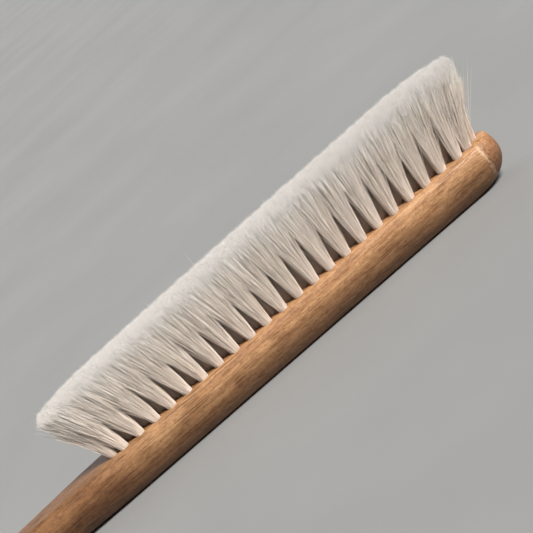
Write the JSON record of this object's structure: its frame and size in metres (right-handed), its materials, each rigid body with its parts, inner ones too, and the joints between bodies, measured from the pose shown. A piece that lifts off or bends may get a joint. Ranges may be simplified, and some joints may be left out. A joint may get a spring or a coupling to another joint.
{
  "type": "bee brush",
  "caption": "Long wooden bee brush: one-piece stock with rounded back and plain handle, set with staggered rows of soft pale hair tufts that flare out at both ends.",
  "frame": {"origin": "under the middle of the bounding box, on the plane of the stock's flat back", "axes": "+X along the brush towards the free end of the head, +Z the way the hair points, +Y across the brush"},
  "size_m": [0.41, 0.0288, 0.0671],
  "materials": {
    "wood": "oiled satin, fine dark flecks along the grain",
    "hair": "soft pale natural hair",
    "anchor_wire": "plain flat wire, hidden in the holes"
  },
  "bodies": {
    "root": {"stock": "wood", "near_row_tuft_01": "hair", "near_row_tuft_02": "hair", "near_row_tuft_03": "hair", "near_row_tuft_04": "hair", "near_row_tuft_05": "hair", "near_row_tuft_06": "hair", "near_row_tuft_07": "hair", "near_row_tuft_08": "hair", "near_row_tuft_09": "hair", "near_row_tuft_10": "hair", "near_row_tuft_11": "hair", "near_row_tuft_12": "hair", "near_row_tuft_13": "hair", "near_row_tuft_14": "hair", "near_row_tuft_15": "hair", "near_row_tuft_16": "hair", "near_row_tuft_17": "hair", "near_row_tuft_18": "hair", "near_row_tuft_19": "hair", "near_row_tuft_20": "hair", "near_row_tuft_21": "hair", "near_row_tuft_22": "hair", "near_row_tuft_23": "hair", "near_row_tuft_24": "hair", "far_row_tuft_01": "hair", "far_row_tuft_02": "hair", "far_row_tuft_03": "hair", "far_row_tuft_04": "hair", "far_row_tuft_05": "hair", "far_row_tuft_06": "hair", "far_row_tuft_07": "hair", "far_row_tuft_08": "hair", "far_row_tuft_09": "hair", "far_row_tuft_10": "hair", "far_row_tuft_11": "hair", "far_row_tuft_12": "hair", "far_row_tuft_13": "hair", "far_row_tuft_14": "hair", "far_row_tuft_15": "hair", "far_row_tuft_16": "hair", "far_row_tuft_17": "hair", "far_row_tuft_18": "hair", "far_row_tuft_19": "hair", "far_row_tuft_20": "hair", "far_row_tuft_21": "hair", "far_row_tuft_22": "hair", "far_row_tuft_23": "hair", "far_row_tuft_24": "hair", "middle_row_tufts_01_02": "hair", "middle_row_tufts_03_04": "hair", "middle_row_tufts_05_06": "hair", "middle_row_tufts_07_08": "hair", "middle_row_tufts_09_10": "hair", "middle_row_tufts_11_12": "hair", "middle_row_tufts_13_14": "hair", "middle_row_tufts_15_16": "hair", "middle_row_tufts_17_18": "hair", "middle_row_tufts_19_21": "hair", "head_end_tuft": "hair"}
  },
  "joints": []
}
